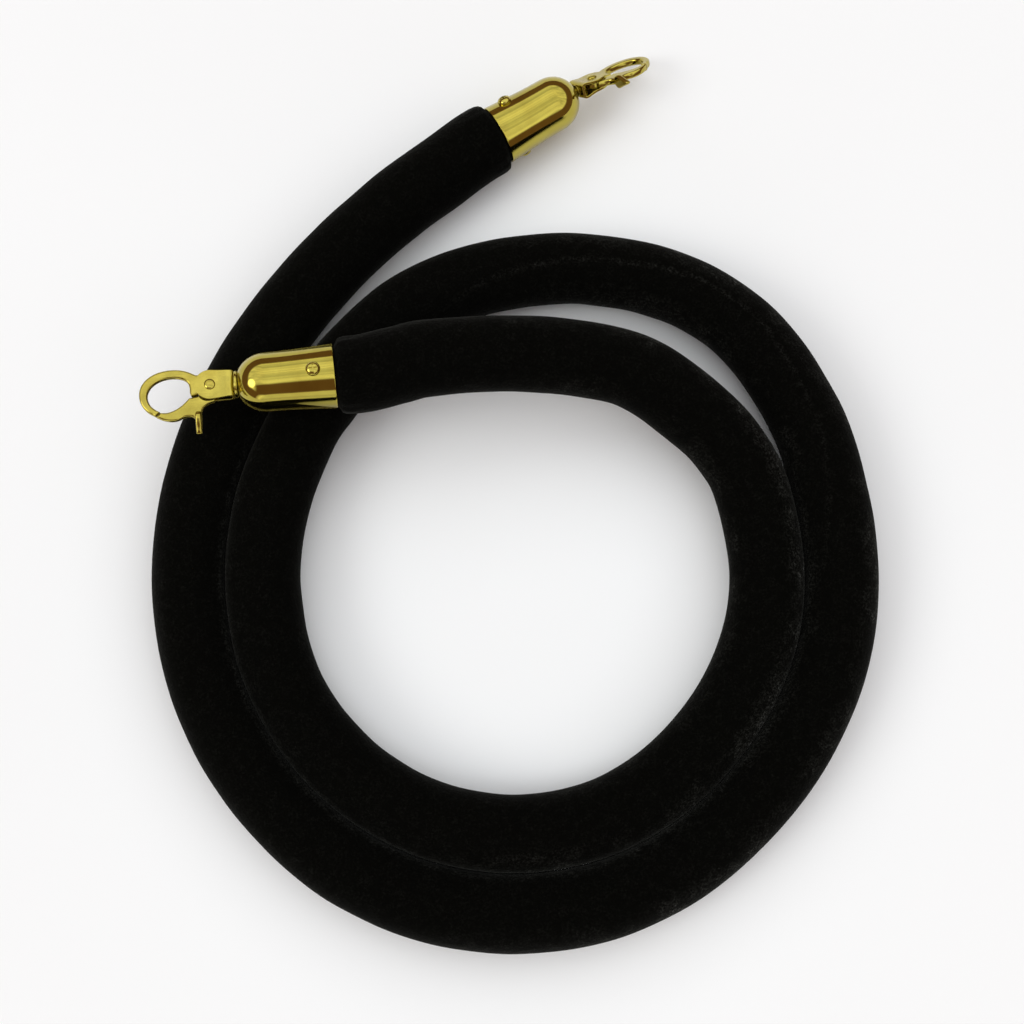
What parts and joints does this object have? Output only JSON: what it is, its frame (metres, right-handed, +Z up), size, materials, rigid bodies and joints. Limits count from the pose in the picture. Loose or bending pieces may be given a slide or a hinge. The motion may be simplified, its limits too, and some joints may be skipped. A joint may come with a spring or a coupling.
{
  "type": "velvet barrier rope",
  "caption": "Padded black velvet barrier rope lying in a loose coil, with a domed gold cap, a swivelling riveted strap and a sprung snap hook at either end for clipping to a post.",
  "frame": {"origin": "centre of the coil's bounding box, on the surface that the rope lies on", "axes": "+Z up; +Y along the longest extent, towards the end that lies outside the coil (end b); +X to the right seen from above with +Y away"},
  "size_m": [0.3105, 0.3961, 0.0623],
  "materials": {
    "velvet": "black pile velvet, matt with a faint sheen at grazing angles",
    "core": "soft pale wadding",
    "cap_gold": "mirror-polished gold plate",
    "hardware_gold": "polished gold plate on cast and pressed parts",
    "wood": "turned softwood",
    "spring_steel": "bright drawn wire"
  },
  "bodies": {
    "rope": {"velvet_cover": "velvet", "rope_core": "core", "end_cap_a": "cap_gold", "end_plug_a": "wood", "cap_screw_a_1": "hardware_gold", "cap_screw_a_2": "hardware_gold", "end_cap_b": "cap_gold", "end_plug_b": "wood", "cap_screw_b_1": "hardware_gold", "cap_screw_b_2": "hardware_gold"},
    "hook_a": {"swivel_rivet_a": "hardware_gold", "swivel_washer_a": "hardware_gold", "strap_a": "hardware_gold", "hook_rivet_a": "hardware_gold", "hook_body_a": "hardware_gold", "trigger_spring_a": "spring_steel"},
    "lever_a": {"trigger_a": "hardware_gold"},
    "hook_b": {"swivel_rivet_b": "hardware_gold", "swivel_washer_b": "hardware_gold", "strap_b": "hardware_gold", "hook_rivet_b": "hardware_gold", "hook_body_b": "hardware_gold", "trigger_spring_b": "spring_steel"},
    "lever_b": {"trigger_b": "hardware_gold"}
  },
  "joints": [
    {"name": "hook_swivel_a", "type": "hinge", "parent": "rope", "child": "hook_a", "pos_m": [-0.12445, 0.03043, 0.05146], "axis": [-0.9919, -0.0831, 0.0958], "continuous": true},
    {"name": "trigger_pivot_a", "type": "hinge", "parent": "hook_a", "child": "lever_a", "pos_m": [-0.12445, 0.03043, 0.05146], "axis": [0.0952, 0.0113, 0.9954], "range_deg": [0, 32], "stiffness_Nm_per_rad": 0.03, "springref_deg": -34.38},
    {"name": "hook_swivel_b", "type": "hinge", "parent": "rope", "child": "hook_b", "pos_m": [0.03508, 0.1817, 0.01481], "axis": [0.7972, 0.5454, -0.2589], "continuous": true},
    {"name": "trigger_pivot_b", "type": "hinge", "parent": "hook_b", "child": "lever_b", "pos_m": [0.03508, 0.1817, 0.01481], "axis": [0.2586, -0.696, -0.6698], "range_deg": [0, 32], "stiffness_Nm_per_rad": 0.03, "springref_deg": -34.38}
  ]
}
